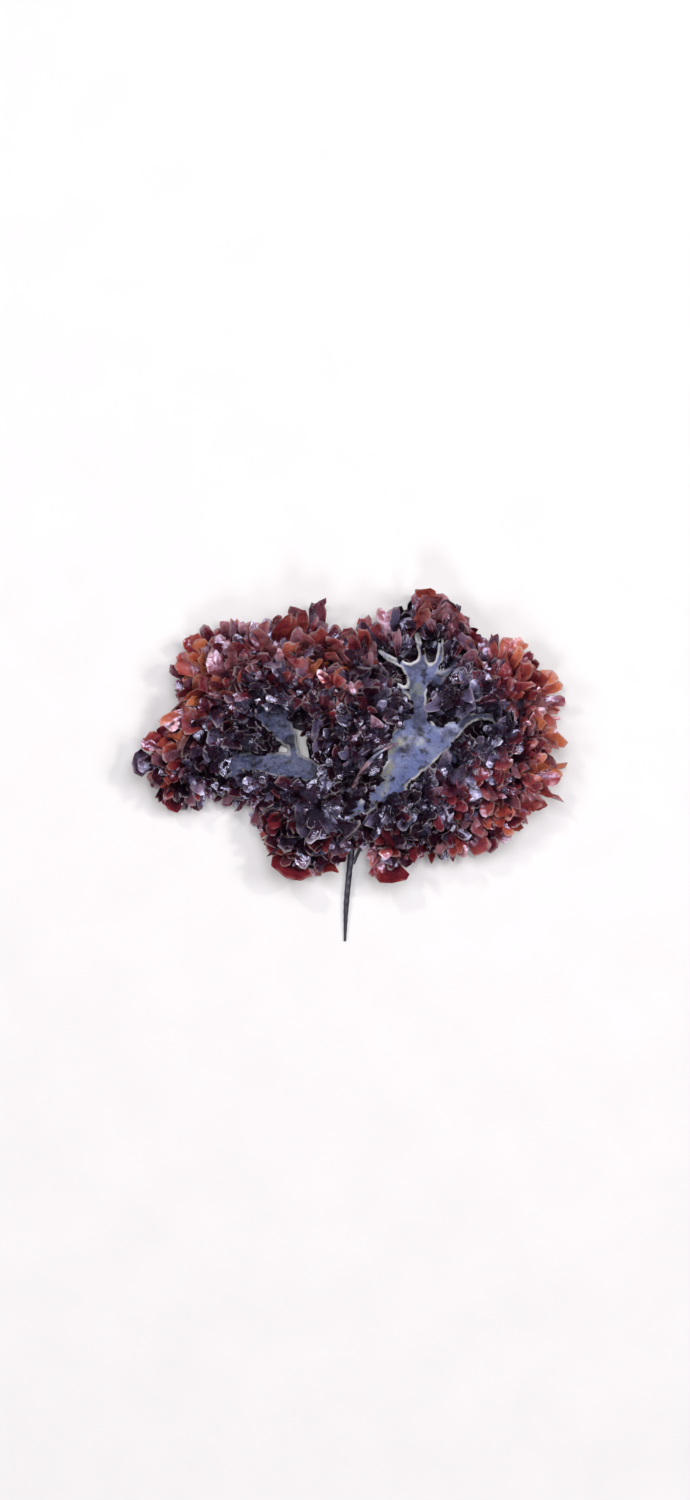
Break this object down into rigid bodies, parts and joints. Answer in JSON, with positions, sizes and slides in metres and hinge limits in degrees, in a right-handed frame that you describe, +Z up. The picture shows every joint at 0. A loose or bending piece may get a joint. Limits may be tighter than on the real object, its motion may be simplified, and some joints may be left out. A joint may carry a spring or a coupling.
{
  "type": "irish moss frond",
  "caption": "Picked frond of irish moss seaweed lying flat: a thin stipe forks into broad blades that end in dense tufts of ruffled, forked lobes.",
  "frame": {"origin": "on the surface the frond lies on, under the middle of its bounding box", "axes": "+X to the right across the frond, +Y from the stipe towards the upper tufts, +Z up from the surface"},
  "size_m": [0.1532, 0.1224, 0.025],
  "materials": {
    "stipe": "wet, near-black purple, glossy",
    "blade": "wet, blue-grey with olive patches, glossy",
    "tuft": "wet, dark maroon to orange-red at the rims, glossy"
  },
  "bodies": {
    "root": {"left_low_tuft_1": "tuft", "left_low_tuft_2": "tuft", "left_low_tuft_3": "tuft", "left_low_tuft_4": "tuft", "left_low_tuft_5": "tuft", "left_low_tuft_6": "tuft", "left_lower_blade": "blade", "left_main_blade": "blade", "left_outer_blade": "blade", "left_side_tuft_1": "tuft", "left_side_tuft_2": "tuft", "left_side_tuft_3": "tuft", "left_side_tuft_4": "tuft", "left_top_tuft_1": "tuft", "left_top_tuft_2": "tuft", "left_top_tuft_3": "tuft", "left_top_tuft_4": "tuft", "left_top_tuft_5": "tuft", "left_top_tuft_6": "tuft", "left_top_tuft_7": "tuft", "left_top_tuft_8": "tuft", "left_upper_blade": "blade", "middle_blade": "blade", "middle_tuft_1": "tuft", "middle_tuft_2": "tuft", "middle_tuft_3": "tuft", "middle_tuft_4": "tuft", "middle_tuft_5": "tuft", "middle_tuft_6": "tuft", "right_low_tuft_1": "tuft", "right_low_tuft_2": "tuft", "right_low_tuft_3": "tuft", "right_low_tuft_4": "tuft", "right_low_tuft_5": "tuft", "right_low_tuft_6": "tuft", "right_low_tuft_7": "tuft", "right_lower_blade": "blade", "right_main_blade": "blade", "right_outer_blade": "blade", "right_side_tuft_1": "tuft", "right_side_tuft_2": "tuft", "right_side_tuft_3": "tuft", "right_side_tuft_4": "tuft", "right_side_tuft_5": "tuft", "right_side_tuft_6": "tuft", "right_top_tuft_1": "tuft", "right_top_tuft_2": "tuft", "right_top_tuft_3": "tuft", "right_top_tuft_4": "tuft", "right_top_tuft_5": "tuft", "right_top_tuft_6": "tuft", "right_upper_blade": "blade", "stipe": "stipe", "stipe_side_shoot": "stipe"}
  },
  "joints": []
}
